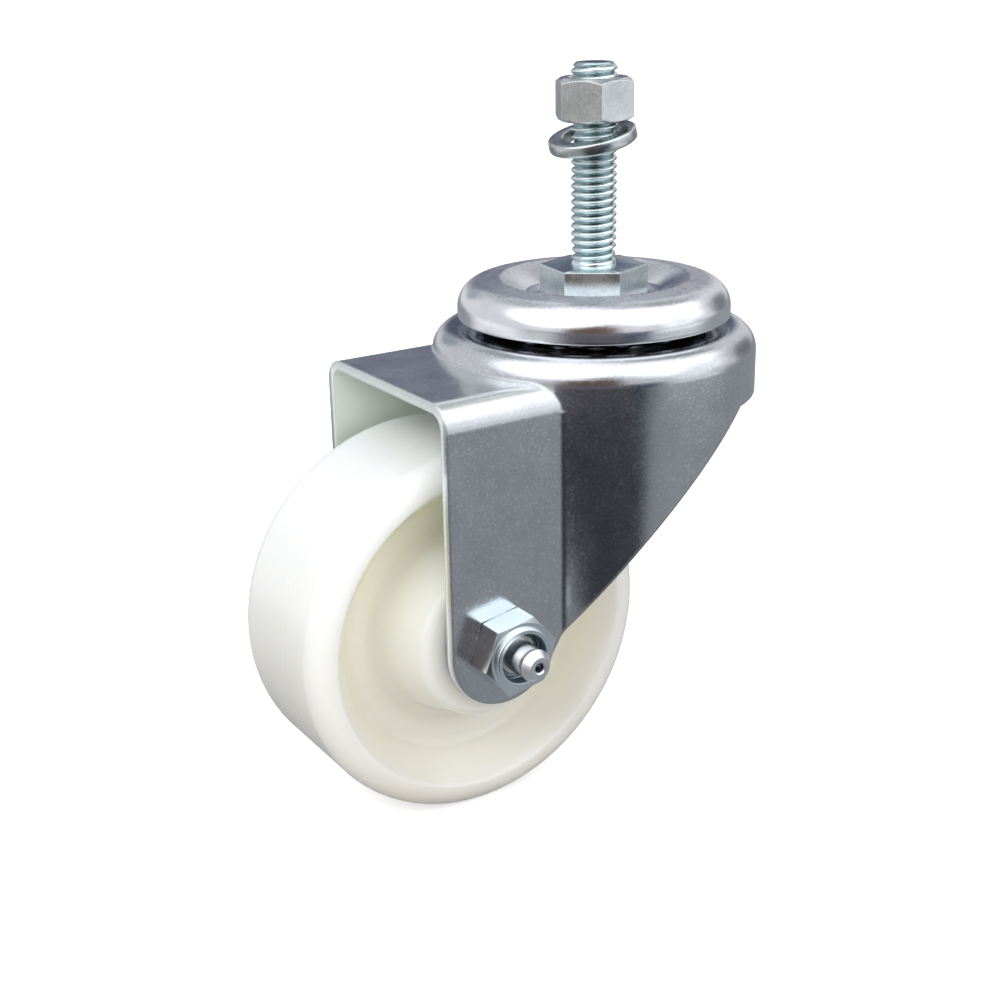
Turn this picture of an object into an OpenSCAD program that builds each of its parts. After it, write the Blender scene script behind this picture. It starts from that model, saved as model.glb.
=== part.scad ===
// Threaded stem castor: a dished nylon wheel in a pressed swivel fork under a 3/8 in stem.
// The origin is on the swivel axis in the plane of the hex collar's top. +Z runs up the stem,
// the wheel trails to -X, the axle lies along Y and the grease fitting is on the -Y side.

/* [Wheel] */
// Diameter of the wheel over its tread
wheel_d = 76.2; // [72:0.1:78]
// Width of the tread
tread_w = 31.75; // [30:0.05:34]
// Rounding of the tread's shoulders
tread_round = 4.2; // [3:0.1:4.8]
// Width of the flat rim face between shoulder rounding and dish
rim_face = 1.1; // [0.6:0.1:2]
// Depth of the dished side below the rim face
dish_depth = 8.3; // [6.5:0.1:9]
// Radial reach of the dish's sloping wall
dish_slope = 5.8; // [5:0.1:7]
// Extra depth of the dish floor where it meets the hub
floor_fall = 1.4; // [0.8:0.1:2]
// Rounding between rim face and dish
dish_edge = 0.8; // [0.5:0.1:1.2]
// Rounding at the foot of the dish and of the hub
dish_fillet = 3; // [2:0.1:3.4]
// Rounding of the hub's ends
hub_edge = 1; // [0.5:0.1:1.5]
// Length of the hub along the axle
hub_l = 38.1; // [37:0.1:38.4]
// Wall of the hub round the bearing sleeve at its ends
hub_wall = 5.3; // [4.6:0.1:6]
// Radial spread of the hub from its end to its foot
hub_spread = 3.8; // [3:0.1:4.5]

/* [Axle] */
// Diameter of the axle bolt
axle_d = 9.525; // [9:0.025:10]
// Clearance on radius of what slides over the axle bolt
axle_gap = 0.1; // [0.05:0.01:0.15]
// Width across flats of the axle bolt's head and nut
axle_af = 14.29; // [14:0.01:15.5]
// Height of the axle bolt's head
axle_head_h = 6; // [5:0.1:6.5]
// Height of the hexagon of the axle lock nut
axle_nut_h = 5.8; // [5:0.1:6.5]
// Height of the round collar on the lock nut
nut_collar_h = 0.9; // [0.8:0.05:1.4]
// Outer diameter of the round collar on the lock nut
nut_collar_d = 12.2; // [12:0.1:13]
// Rounding of the collar's outer edge
nut_collar_round = 0.4; // [0.2:0.05:0.5]
// Chamfer at the bolt's end
bolt_chamfer = 0.8; // [0.4:0.1:1]
// Distance from the lock nut's outer end back to the bolt's end
bolt_sunk = 2.2; // [1.8:0.1:2.6]
// Diameter of the bolt's grease channel
grease_bore = 3; // [2.5:0.1:3.4]

/* [Wheel bearing] */
// Outer diameter of the clamped bush that the rollers run on
bush_d = 12.7; // [12.3:0.02:13.1]
// Diameter of one roller
roller_d = 3; // [2.8:0.05:3.2]
// Length of one roller
roller_l = 32; // [28:0.5:34]
// Number of rollers
roller_n = 10; // [8:1:12]
// Running clearance on radius of rollers and cage pockets
roller_gap = 0.05; // [0.03:0.01:0.08]
// Wall of the sleeve pressed into the hub
sleeve_wall = 1.2; // [1:0.05:1.5]
// Wall of the roller cage
cage_wall = 1.7; // [1.4:0.1:1.8]
// Thickness of each thrust washer
thrust_t = 1.6; // [1.4:0.05:1.7]
// Outer diameter of each thrust washer
thrust_d = 22; // [21.6:0.1:23]
// End float of the hub and the cage between the thrust washers, each side
end_float = 0.35; // [0.3:0.01:0.5]

/* [Grease fitting] */
// Diameter of the fitting's thread
fitting_thread_d = 6.2; // [6:0.05:6.4]
// Length of the fitting's thread in the bolt
fitting_thread_l = 4; // [3.4:0.1:5]
// Diameter of the fitting's neck
fitting_neck_d = 6.5; // [6.3:0.05:6.7]
// Length of the fitting from the bolt's end to its tip
fitting_l = 7.4; // [7:0.1:8]
// Length over which its neck narrows to the groove
fitting_taper = 1.8; // [1:0.1:2.4]
// Diameter of the fitting's head
fitting_head_d = 6.5; // [6.2:0.05:6.8]
// Length of the fitting's head
fitting_head_l = 2.6; // [2.2:0.1:2.8]
// Depth of the groove behind the head
fitting_groove = 0.45; // [0.3:0.05:0.5]
// Diameter of the flat tip
fitting_tip_d = 4.4; // [4.2:0.05:4.8]
// Diameter of the fitting's inlet
fitting_inlet_d = 1.9; // [1.7:0.05:2]
// Diameter of the channel behind the inlet
fitting_channel_d = 2.7; // [2.6:0.05:2.9]
// Diameter of the check ball
check_ball_d = 2.3; // [2.2:0.05:2.4]

/* [Fork] */
// Thickness of the fork's sheet
sheet_t = 2; // [1.8:0.05:2.2]
// Outer radius of the domed swivel head
dome_r = 33.4; // [32.8:0.1:34]
// Rounding of the head's shoulder
dome_round = 5; // [4:0.1:6]
// Height of the head's rim above the ball groove
rim_rise = 1; // [0.7:0.05:1.3]
// Depth of the fork's crown plate below the stem's shoulder
crown_drop = 16.5; // [16:0.1:18]
// Depth of the head's skirt below the stem's shoulder
skirt_drop = 25.5; // [24:0.1:28]
// Bend radius outside, where the crown turns down into the legs
bend_r = 5; // [4:0.1:6]
// Clear height of the axle's centre below the stem's shoulder
axle_drop = 66.7; // [64:0.1:69]
// Swivel lead, from the swivel axis to the axle
swivel_lead = 37.8; // [36:0.1:39]
// Radius of the leg's round lower end about the axle
leg_round = 12; // [11:0.1:13]
// Radius of the sweep that cuts the legs' rear edge
sweep_r = 160; // [140:1:200]
// Angle at which the sweep leaves the leg's round end
sweep_angle = 60; // [56:1:62]
// Blend radius of the crease between leg and head
crease_r = 2; // [1.5:0.1:2.5]
// Step from the circle of lower balls in to the hole in the head
bore_step = 3.5; // [3.3:0.05:3.8]

/* [Swivel races] */
// Diameter of the upper balls
upper_ball_d = 7.94; // [7.5:0.01:8]
// Number of upper balls
upper_ball_n = 16; // [14:1:16]
// Diameter of the lower balls
lower_ball_d = 6.35; // [6:0.05:6.5]
// Number of lower balls
lower_ball_n = 11; // [9:1:11]
// Step from the circle of upper balls in to the circle of lower balls
race_step = 9.23; // [8.8:0.01:9.4]
// Running clearance between a ball and its races
race_gap = 0.3; // [0.25:0.01:0.35]
// Step from the side of the swivel head in to the side of the cap
head_step = 5.4; // [5.2:0.1:5.8]
// Thickness of the top cap's sheet
cap_t = 2; // [1.8:0.05:2.1]
// Depth of the cap's crest below the stem's shoulder
cap_crest = 2.4; // [2.2:0.05:2.7]
// Depth of the cap's lip below the stem's shoulder
cap_lip = 10.2; // [9.8:0.1:10.6]
// Outer rounding of the cap
cap_round = 4; // [3.5:0.1:4.5]
// Step from the side of the cap in to the crest's inner edge
crest_step = 8.6; // [8:0.1:9]
// Flat floor of the cap round the hex collar's corners
cap_floor_margin = 2.6; // [2:0.1:3]
// Clearance between the cap's floor and the fork's inner race
land_gap = 0.9; // [0.7:0.05:1.1]
// Thickness of the lower race
lower_race_t = 1.8; // [1.6:0.05:2]
// Depth of the lower race's plate below the middle of the lower balls
lower_seat = 1.8; // [1.6:0.05:2]
// Depth of the lower race's lip below the middle of the lower balls
lower_lip = 1.1; // [0.9:0.05:1.4]

/* [Stem] */
// Length of the stem above its shoulder
stem_l = 39.7; // [36:0.1:44]
// Major diameter of the stem's thread
stem_d = 9.3; // [9.2:0.01:9.5]
// Step on radius from the thread down to the plain neck
neck_step = 0.18; // [0.17:0.01:0.22]
// Length of the plain neck above the collar
neck_l = 3.3; // [3:0.1:4]
// Chamfer at the stem's tip
tip_chamfer = 1; // [0.6:0.1:1.2]
// Width across flats of the hex collar
collar_af = 19.05; // [18.6:0.05:19.5]
// Height of the hex collar
collar_h = 5.7; // [5.3:0.1:6]
// Turn of the collar's corner from the +X direction
collar_turn = 22; // [0:1:59]
// Clearance of the kingpin in the head's hole
kingpin_gap = 2.5; // [1.5:0.1:3]
// Shoulder of the kingpin on the lower race
kingpin_step = 1.5; // [1.2:0.1:2]
// Clearance between the rivet head and the circle of lower balls
rivet_margin = 4.3; // [3.8:0.1:5]
// Height of the rivet head
rivet_h = 2.6; // [2:0.1:3]
// Width of the rivet head's rounded edge
rivet_edge = 2.4; // [1.5:0.1:3]

/* [Stem nut and lock washer] */
// Width across flats of the stem nut
stem_nut_af = 14.29; // [14:0.01:15]
// Height of the stem nut
stem_nut_h = 8.4; // [7.8:0.1:9.2]
// Length of stem that stands above the nut
stem_show = 2.8; // [1.8:0.1:3.4]
// Running clearance on radius of the nut on the thread
nut_gap = 0.06; // [0.04:0.01:0.08]
// Turn of the nut's corner from the +X direction
stem_nut_turn = 3; // [0:1:59]
// Outer diameter of the lock washer
washer_d = 17.7; // [17:0.1:18]
// Width of the lock washer's section
washer_w = 3; // [2.8:0.1:3.2]
// Thickness of the lock washer's section
washer_t = 2.4; // [2.2:0.1:2.6]
// Tilt at which the lock washer hangs
washer_tilt = 14; // [11:0.5:15]
// Direction in which the tilted lock washer rises
washer_rise_dir = 2; // [-20:1:40]
// Sideways shift of the lock washer, away from its rise
washer_shift = 0.4; // [0.2:0.05:0.5]
// Set of the lock washer's split ends, one above the other
washer_set = 0.6; // [0.3:0.05:0.8]

/* [Hidden] */
$fn = 96;
EPS = 0.01;

// Swivel races, worked out from the balls that run between the sheets
cap_r = dome_r - head_step;
cap_crest_r = cap_r - crest_step;
cap_floor_r = collar_af / sqrt(3) + cap_floor_margin;
upper_ball_r = upper_ball_d / 2;
lower_ball_r = lower_ball_d / 2;
upper_race_r = cap_r - cap_t - race_gap - upper_ball_r;
lower_race_r = upper_race_r - race_step;
head_bore_r = lower_race_r - bore_step;
kingpin_r = head_bore_r - kingpin_gap;
rivet_pin_r = kingpin_r - kingpin_step;
rivet_r = lower_race_r - rivet_margin;
upper_race_z = -cap_crest - cap_t - race_gap - upper_ball_r;
upper_groove = upper_ball_r + race_gap;
lower_groove = lower_ball_r + race_gap;
rim_z = upper_race_z - upper_groove + rim_rise;
land_z = -collar_h - cap_t - land_gap;
lower_race_z = land_z - sheet_t - lower_groove;
lower_seat_z = lower_race_z - lower_seat;

// Fork
inner_w = hub_l + 2 * (thrust_t + end_float);
leg_y = inner_w / 2 + sheet_t;
front_x = -swivel_lead - leg_round;
hole_r = axle_d / 2 + axle_gap;
floor_z = -axle_drop - wheel_d / 2 - 1;

// Wheel bearing
cage_short = 0.1;
pocket_float = 0.4;
washer_float = 0.1;
bush_r = bush_d / 2;
pitch_r = bush_r + roller_gap + roller_d / 2;
sleeve_r = pitch_r + roller_d / 2 + roller_gap;
hub_bore = sleeve_r + sleeve_wall;
cage_l = hub_l - cage_short;

// Lock nut, bolt and fitting, measured along the axle towards the near side
nut_face = leg_y + axle_nut_h;
nut_end = nut_face + nut_collar_h;
bolt_end = nut_end - bolt_sunk;
fitting_end = bolt_end + fitting_l;
insert_l = 2;
insert_lip = 0.3;
insert_wall = 1.1;
insert_grip = 0.9;
inlet_l = 0.6;
ball_seat = sqrt(pow(check_ball_d / 2, 2) - pow(fitting_inlet_d / 2, 2));
ball_gap = 0.1;
ball_at = fitting_end - inlet_l - ball_seat - ball_gap;
spring_wire = 0.24;
spring_turns = 6;
spring_gap = 0.05;
spring_end = ball_at - check_ball_d / 2 - spring_gap;
spring_inset = 1;
spring_start = bolt_end - fitting_thread_l + spring_inset;

// Stem nut and lock washer
countersink = 0.5;
washer_gap = 0.1;
stem_r = stem_d / 2;
nut_top = stem_l - stem_show;
nut_bottom = nut_top - stem_nut_h;
washer_r = washer_d / 2;
washer_mid = nut_bottom - stem_nut_af / 2 * sin(washer_tilt) - washer_t / 2 - washer_set / 2 - washer_gap;
WASHER_STEPS = 60;
split_half = 5;
split_dir = 30;

// Hexagons: share of the flats that an end face keeps, slope of the bevels and turn on the axle
hex_face = 0.97;
hex_slope = 30;
stem_nut_face = 0.92;
axle_nut_slope = 12;
axle_hex_turn = 10;

function unit(v) = v / norm(v);
function left(v) = [-v[1], v[0]];
function polar(r, a) = [r * cos(a), r * sin(a)];
function flip(points) = [for (i = [len(points) - 1 : -1 : 0]) points[i]];

// Rounded corner q on the way from p to s, in a line set off by d to the left of the way
function corner(p, q, s, r, d = 0, steps = 8) =
    let (u = unit(q - p), v = unit(s - q),
         k = sign(u[0] * v[1] - u[1] * v[0]),
         half = acos(u * v) / 2,
         centre = q - u * r * tan(half) + left(u) * k * r,
         start = atan2(-k * left(u)[1], -k * left(u)[0]))
    [for (i = [0 : steps]) centre + polar(r - k * d, start + k * 2 * half * i / steps)];

// Way through points [x, y, corner radius], set off by d to the left of the way
function way(path, d = 0) =
    let (n = len(path), p = [for (q = path) [q[0], q[1]]])
    concat([p[0] + left(unit(p[1] - p[0])) * d],
           [for (i = [1 : n - 2]) each
               (path[i][2] == 0 ? [p[i]] : corner(p[i - 1], p[i], p[i + 1], path[i][2], d))],
           [p[n - 1] + left(unit(p[n - 1] - p[n - 2])) * d]);

// Bent sheet of thickness t whose upper side follows the path
module sheet(path, t) {
    polygon(concat(way(path), flip(way(path, t))));
}

// Direction of the straight line that joins two arcs [x, y, r, side] which bend opposite ways
function lean(a, b) =
    let (gap = [b[0] - a[0], b[1] - a[1]])
    (atan2(gap[1], gap[0]) + a[3] * asin((a[2] + b[2]) / norm(gap)) + 360) % 360;

// Points of one arc between two directions of travel, set off by d to the left
function arc_points(c, from, to, d, steps = 12) =
    [for (i = [0 : steps])
        let (a = from + (to - from) * i / steps)
        [c[0], c[1]] + polar(c[2] - c[3] * d, a - 90 * c[3])];

module on_axle() {
    translate([-swivel_lead, 0, -axle_drop]) rotate([90, 0, 0]) children();
}

module tube(r_out, r_in, from, to) {
    translate([0, 0, from]) difference() {
        cylinder(r = r_out, h = to - from);
        translate([0, 0, -EPS]) cylinder(r = r_in, h = to - from + 2 * EPS);
    }
}

// Hexagon with a corner on the local X axis, bevelled at its low end and, if asked for, the high one
module hexagon(af, h, face = hex_face, slope = hex_slope, bevel_high = true) {
    corner_r = af / sqrt(3);
    bevel_r = af / 2 * face;
    bevel_h = (corner_r + EPS - bevel_r) * tan(slope);
    intersection() {
        cylinder(r = corner_r, h = h, $fn = 6);
        rotate_extrude() polygon(concat(
            [[0, 0], [bevel_r, 0], [corner_r + EPS, bevel_h]],
            bevel_high ? [[corner_r + EPS, h - bevel_h], [bevel_r, h]] : [[corner_r + EPS, h]],
            [[0, h]]));
    }
}

module threaded_stem() {
    color("lightsteelblue") {
        rotate([0, 0, collar_turn]) translate([0, 0, -collar_h])
            cylinder(r = collar_af / sqrt(3), h = collar_h, $fn = 6);
        cylinder(r = stem_r - neck_step, h = neck_l);
        translate([0, 0, neck_l]) cylinder(r = stem_r, h = stem_l - neck_l - tip_chamfer);
        translate([0, 0, stem_l - tip_chamfer])
            cylinder(r1 = stem_r, r2 = stem_r - tip_chamfer, h = tip_chamfer);
        rotate_extrude() polygon([
            [0, -collar_h], [kingpin_r, -collar_h], [kingpin_r, lower_seat_z],
            [rivet_pin_r, lower_seat_z], [rivet_pin_r, lower_seat_z - lower_race_t],
            [rivet_r, lower_seat_z - lower_race_t],
            [rivet_r - rivet_edge / 4, lower_seat_z - lower_race_t - rivet_h * 0.6],
            [rivet_r - rivet_edge, lower_seat_z - lower_race_t - rivet_h],
            [0, lower_seat_z - lower_race_t - rivet_h]]);
    }
}

module top_cap() {
    color("gainsboro") rotate_extrude() sheet([
        [cap_r, -cap_lip, 0], [cap_r, -cap_crest, cap_round],
        [cap_crest_r, -cap_crest, cap_t + 1], [cap_floor_r, -collar_h, cap_t],
        [kingpin_r, -collar_h, 0]], cap_t);
}

module lower_race() {
    bowl = lower_groove + lower_race_t;
    color("silver") rotate_extrude() difference() {
        union() {
            intersection() {
                translate([lower_race_r, lower_race_z]) circle(r = bowl);
                translate([0, lower_race_z - 2 * bowl]) square([4 * bowl, 2 * bowl - lower_lip]);
            }
            translate([rivet_pin_r, lower_seat_z - lower_race_t])
                square([lower_race_r - rivet_pin_r, lower_race_t]);
        }
        translate([lower_race_r, lower_race_z]) circle(r = lower_groove);
    }
}

module ball_ring(count, ball_r, ring_r, z) {
    for (i = [0 : count - 1])
        rotate([0, 0, 360 * i / count]) translate([ring_r, 0, z]) sphere(r = ball_r);
}

module upper_balls() {
    color("dimgray") ball_ring(upper_ball_n, upper_ball_r, upper_race_r, upper_race_z);
}

module lower_balls() {
    color("dimgray") ball_ring(lower_ball_n, lower_ball_r, lower_race_r, lower_race_z);
}

// Arcs of the head's upper surface, from the shoulder over the ball groove to the inner race
head_arcs = [[dome_r - dome_round, rim_z - dome_round, dome_round, 1],
             [upper_race_r, upper_race_z, upper_groove, -1],
             [lower_race_r, lower_race_z, lower_groove + sheet_t, 1]];
HEAD_END = 250;

function head_surface(d) =
    let (fall = lean(head_arcs[0], head_arcs[1]), rise = lean(head_arcs[1], head_arcs[2]))
    concat(arc_points(head_arcs[0], 90, fall, d),
           arc_points(head_arcs[1], fall, rise, d),
           arc_points(head_arcs[2], rise, HEAD_END, d));

// Space under a surface of the head, down past the wheel
module head_space(d, low) {
    surface = head_surface(d);
    rotate_extrude() polygon(concat(
        [[dome_r - d, low]], surface, [[0, surface[len(surface) - 1][1]], [0, low]]));
}

// Space under a surface of the crown plate and the legs' flat fronts
module channel_space(d, front, low) {
    half_w = leg_y - d;
    top = -crown_drop - d;
    round_r = bend_r - d;
    translate([front, 0, 0]) rotate([90, 0, 90]) linear_extrude(-front) {
        translate([-half_w, low]) square([2 * half_w, top - round_r - low]);
        translate([-half_w + round_r, low]) square([2 * (half_w - round_r), top - low]);
        for (s = [-1, 1]) translate([s * (half_w - round_r), top - round_r]) circle(r = round_r);
    }
}

// Vertical blend in the crease where a flat leg meets the round head
module crease_blend(d, low, top) {
    blend = crease_r + d;
    reach = dome_r + crease_r;
    y = leg_y + crease_r;
    x = -sqrt(reach * reach - y * y);
    far = unit([x, y]) * (dome_r - d);
    for (s = [-1, 1]) scale([1, s, 1]) translate([0, 0, low]) linear_extrude(top - low)
        difference() {
            polygon([[x, y], [x, leg_y - d - EPS], [x / 2, leg_y - d - EPS], far * 0.99, far]);
            translate([x, y]) circle(r = blend);
        }
}

// Side view of the fork, as a solid that spans its width
module side_view() {
    axle = [-swivel_lead, -axle_drop];
    touch = axle + leg_round * [sin(sweep_angle), -cos(sweep_angle)];
    sweep = axle + (leg_round + sweep_r) * [sin(sweep_angle), -cos(sweep_angle)];
    rear_x = dome_r + 1;
    rotate([90, 0, 0]) linear_extrude(4 * leg_y, center = true) {
        translate(axle) circle(r = leg_round);
        difference() {
            polygon([[front_x, 0], [front_x, axle[1]], axle, touch,
                     [rear_x, -skirt_drop], [rear_x, 0]]);
            translate(sweep) circle(r = sweep_r, $fn = 360);
        }
        translate([-dome_r / 2, -skirt_drop]) square([rear_x + dome_r / 2, skirt_drop]);
    }
}

module fork() {
    blend_top = -crown_drop - bend_r;
    color("lightgray") difference() {
        intersection() {
            union() {
                head_space(0, floor_z);
                channel_space(0, front_x, floor_z);
                crease_blend(0, floor_z, blend_top);
            }
            side_view();
        }
        union() {
            head_space(sheet_t, floor_z - 1);
            channel_space(sheet_t, front_x - 1, floor_z - 1);
            crease_blend(sheet_t, floor_z - 1, blend_top);
        }
        translate([0, 0, -skirt_drop]) cylinder(r = head_bore_r, h = skirt_drop);
        on_axle() translate([0, 0, -2 * leg_y]) cylinder(r = hole_r, h = 4 * leg_y);
    }
}

module stem_nut() {
    color("lightsteelblue") translate([0, 0, nut_bottom]) difference() {
        rotate([0, 0, stem_nut_turn]) hexagon(stem_nut_af, stem_nut_h, stem_nut_face);
        translate([0, 0, -EPS]) cylinder(r = stem_r + nut_gap, h = stem_nut_h + 2 * EPS);
        translate([0, 0, stem_nut_h - countersink])
            cylinder(r1 = stem_r + nut_gap, r2 = stem_r + nut_gap + countersink + EPS,
                     h = countersink + EPS);
    }
}

// One section of the lock washer, as four corners at angle a with its middle at height z
function washer_section(a, z) =
    [for (c = [[washer_r - washer_w, -1], [washer_r, -1], [washer_r, 1], [washer_r - washer_w, 1]])
        [c[0] * cos(a), c[0] * sin(a), z + c[1] * washer_t / 2]];

module lock_washer() {
    sweep = 360 - 2 * split_half;
    points = [for (i = [0 : WASHER_STEPS]) each washer_section(
        split_half + sweep * i / WASHER_STEPS, washer_set * (0.5 - i / WASHER_STEPS))];
    sides = [for (i = [0 : WASHER_STEPS - 1]) for (k = [0 : 3])
        let (a = 4 * i + k, b = 4 * i + (k + 1) % 4) [a, a + 4, b + 4, b]];
    last = 4 * WASHER_STEPS;
    color("slategray") translate([0, 0, washer_mid])
        rotate([0, 0, washer_rise_dir]) rotate([0, -washer_tilt, 0])
            translate([-washer_shift, 0, 0]) rotate([0, 0, split_dir])
                polyhedron(points, concat([[0, 1, 2, 3]], sides,
                           [[last + 3, last + 2, last + 1, last]]), convexity = 4);
}

// Half of the wheel's section, [radius, distance from the middle plane, corner radius]
function wheel_half() =
    let (rim = wheel_d / 2, side = tread_w / 2,
         crest = rim - tread_round - rim_face, dish = crest - dish_slope,
         hub_end = hub_bore + hub_wall)
    [[rim, 0, 0], [rim, side, tread_round], [crest, side, dish_edge],
     [dish, side - dish_depth, dish_fillet],
     [hub_end + hub_spread, side - dish_depth - floor_fall, dish_fillet],
     [hub_end, hub_l / 2, hub_edge], [hub_bore, hub_l / 2, 0]];

module wheel() {
    half = way(wheel_half());
    color("ivory") on_axle() rotate_extrude()
        polygon(concat(half, flip([for (p = half) [p[0], -p[1]]])));
}

module bearing_sleeve() {
    color("silver") on_axle() tube(hub_bore, sleeve_r, -hub_l / 2, hub_l / 2);
}

module roller_ring(r, length) {
    for (i = [0 : roller_n - 1])
        rotate([0, 0, 360 * i / roller_n]) translate([pitch_r, 0, -length / 2])
            cylinder(r = r, h = length, $fn = 32);
}

module roller_cage() {
    color("darkgray") on_axle() difference() {
        tube(pitch_r + cage_wall / 2, pitch_r - cage_wall / 2, -cage_l / 2, cage_l / 2);
        roller_ring(roller_d / 2 + roller_gap, roller_l + pocket_float);
    }
}

module rollers() {
    color("lightgray") on_axle() roller_ring(roller_d / 2, roller_l);
}

module bearing_bush() {
    color("silver") on_axle() difference() {
        tube(bush_r, hole_r, -inner_w / 2, inner_w / 2);
        rotate([0, 90, 0]) cylinder(r = grease_bore / 2, h = 2 * bush_r, $fn = 24);
    }
}

module thrust_washer(side) {
    color("darkgray") on_axle() scale([1, 1, side])
        tube(thrust_d / 2, bush_r + washer_float, inner_w / 2 - thrust_t, inner_w / 2);
}

module thrust_washer_near() { thrust_washer(1); }
module thrust_washer_far() { thrust_washer(-1); }

module axle_bolt() {
    color("lightsteelblue") on_axle() difference() {
        union() {
            translate([0, 0, -leg_y - axle_head_h]) rotate([0, 0, axle_hex_turn])
                hexagon(axle_af, axle_head_h, bevel_high = false);
            translate([0, 0, -leg_y]) cylinder(r = axle_d / 2, h = leg_y + bolt_end - bolt_chamfer);
            translate([0, 0, bolt_end - bolt_chamfer])
                cylinder(r1 = axle_d / 2, r2 = axle_d / 2 - bolt_chamfer, h = bolt_chamfer);
        }
        translate([0, 0, bolt_end - fitting_thread_l])
            cylinder(r = fitting_thread_d / 2, h = fitting_thread_l + EPS, $fn = 48);
        translate([0, 0, -grease_bore]) cylinder(r = grease_bore / 2, h = bolt_end, $fn = 24);
        rotate([0, 90, 0]) cylinder(r = grease_bore / 2, h = axle_d, $fn = 24);
    }
}

module axle_nut() {
    pocket_r = axle_d / 2 + axle_gap + insert_wall;
    collar_r = nut_collar_d / 2;
    lip_r = pocket_r - insert_grip;
    color("lightsteelblue") on_axle() difference() {
        union() {
            translate([0, 0, leg_y]) rotate([0, 0, axle_hex_turn])
                hexagon(axle_af, axle_nut_h, slope = axle_nut_slope);
            rotate_extrude() polygon(way([
                [0, nut_face - nut_collar_h / 2, 0], [collar_r, nut_face - nut_collar_h / 2, 0],
                [collar_r, nut_end, nut_collar_round], [0, nut_end, 0]]));
        }
        translate([0, 0, leg_y - EPS]) cylinder(r = hole_r, h = nut_end);
        translate([0, 0, nut_end - insert_lip - insert_l]) cylinder(r = pocket_r, h = insert_l);
        translate([0, 0, nut_end - insert_lip - EPS]) cylinder(r = lip_r, h = 2 * insert_lip);
    }
}

module nut_insert() {
    color("whitesmoke") on_axle() tube(hole_r + insert_wall, hole_r,
        nut_end - insert_lip - insert_l, nut_end - insert_lip);
}

module grease_fitting() {
    neck_r = fitting_neck_d / 2;
    head_r = fitting_head_d / 2;
    tip_r = fitting_tip_d / 2;
    groove_r = neck_r - fitting_groove;
    head_l = fitting_head_l;
    flare = fitting_groove;
    color("silver") on_axle() rotate_extrude() polygon([
        [fitting_channel_d / 2, bolt_end - fitting_thread_l],
        [fitting_thread_d / 2, bolt_end - fitting_thread_l],
        [fitting_thread_d / 2, bolt_end], [neck_r, bolt_end],
        [neck_r, fitting_end - head_l - flare - fitting_taper],
        [groove_r, fitting_end - head_l - flare],
        [groove_r, fitting_end - head_l], [head_r - flare / 2, fitting_end - head_l + flare],
        [head_r, fitting_end - head_l + 2 * flare], [tip_r, fitting_end],
        [fitting_inlet_d / 2 + inlet_l / 2, fitting_end],
        [fitting_inlet_d / 2, fitting_end - inlet_l / 2],
        [fitting_inlet_d / 2, fitting_end - inlet_l],
        [fitting_channel_d / 2, fitting_end - inlet_l]]);
}

module check_ball() {
    color("gray") on_axle() translate([0, 0, ball_at]) sphere(r = check_ball_d / 2, $fn = 32);
}

// Round wire swept along a helix, as rings of six points
module grease_spring() {
    steps = spring_turns * 14;
    coil_r = fitting_channel_d / 2 - spring_wire - spring_gap;
    wire_r = spring_wire / 2;
    rise = spring_end - spring_start - spring_wire;
    points = [for (i = [0 : steps]) for (k = [0 : 5])
        let (a = 360 * spring_turns * i / steps, r = coil_r + wire_r * cos(60 * k))
        [r * cos(a), r * sin(a), spring_start + wire_r + rise * i / steps + wire_r * sin(60 * k)]];
    sides = [for (i = [0 : steps - 1]) for (k = [0 : 5])
        let (a = 6 * i + k, b = 6 * i + (k + 1) % 6) [a, b, b + 6, a + 6]];
    color("silver") on_axle() polyhedron(points, concat(
        [[5, 4, 3, 2, 1, 0]], sides, [[for (k = [0 : 5]) 6 * steps + k]]), convexity = 10);
}

threaded_stem();
top_cap();
lower_race();
upper_balls();
lower_balls();
fork();
stem_nut();
lock_washer();
wheel();
bearing_sleeve();
roller_cage();
rollers();
bearing_bush();
thrust_washer_near();
thrust_washer_far();
axle_bolt();
axle_nut();
nut_insert();
grease_fitting();
check_ball();
grease_spring();
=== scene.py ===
"""Looks of the threaded stem castor: nylon wheel, zinc-plated fork, cap, stem and fittings."""

import math

import bmesh
import bpy
from mathutils import Matrix, Vector


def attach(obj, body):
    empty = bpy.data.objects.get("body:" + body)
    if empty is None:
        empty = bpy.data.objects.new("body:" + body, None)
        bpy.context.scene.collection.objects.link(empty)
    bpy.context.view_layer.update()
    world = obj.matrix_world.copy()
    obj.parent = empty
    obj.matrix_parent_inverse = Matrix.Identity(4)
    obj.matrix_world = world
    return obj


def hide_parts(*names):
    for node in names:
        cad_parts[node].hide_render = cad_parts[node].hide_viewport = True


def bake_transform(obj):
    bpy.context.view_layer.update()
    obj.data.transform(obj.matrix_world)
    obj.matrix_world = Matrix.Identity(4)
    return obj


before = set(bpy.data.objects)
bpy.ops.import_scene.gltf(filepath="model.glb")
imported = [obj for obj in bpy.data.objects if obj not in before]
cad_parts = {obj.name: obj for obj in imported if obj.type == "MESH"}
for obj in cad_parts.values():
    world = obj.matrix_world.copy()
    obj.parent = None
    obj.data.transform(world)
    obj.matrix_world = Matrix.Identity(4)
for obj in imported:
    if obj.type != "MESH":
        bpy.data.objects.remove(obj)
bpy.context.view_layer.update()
MM = 0.001

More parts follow.
